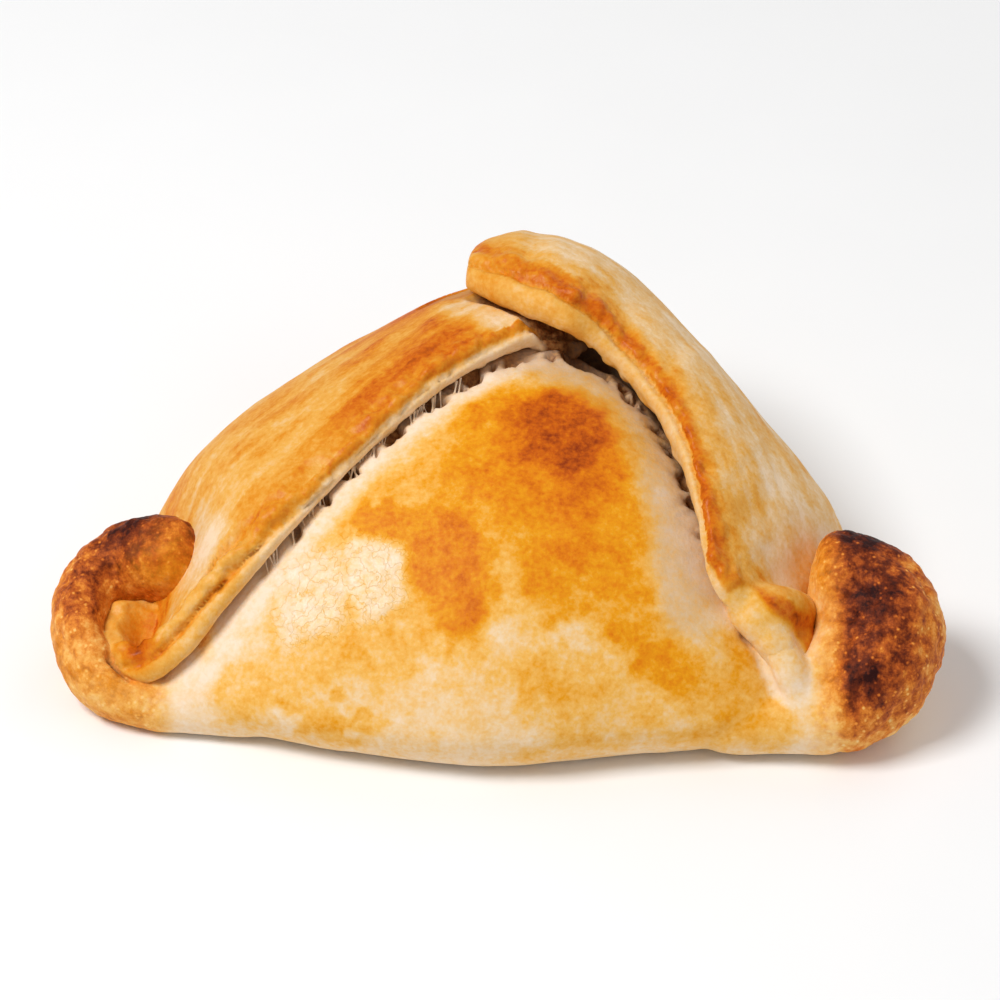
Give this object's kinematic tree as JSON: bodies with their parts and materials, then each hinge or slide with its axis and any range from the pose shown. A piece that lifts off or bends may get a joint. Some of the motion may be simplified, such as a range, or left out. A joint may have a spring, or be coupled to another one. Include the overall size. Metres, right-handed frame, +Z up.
{
  "type": "baked empanada",
  "caption": "Baked dough turnover folded into a triangle, its border lapped over the front as rimmed flaps, with browned curled ears at the front corners.",
  "frame": {"origin": "middle of the flat base, on the surface that it lies on", "axes": "+X along the front fold to the picture's right, -Y towards the front fold, +Z up"},
  "size_m": [0.1464, 0.1022, 0.0538],
  "materials": {
    "crust": "baked dough, cream to golden with browned ears and rims, satin egg glaze"
  },
  "bodies": {
    "root": {"empanada": "crust"}
  },
  "joints": []
}
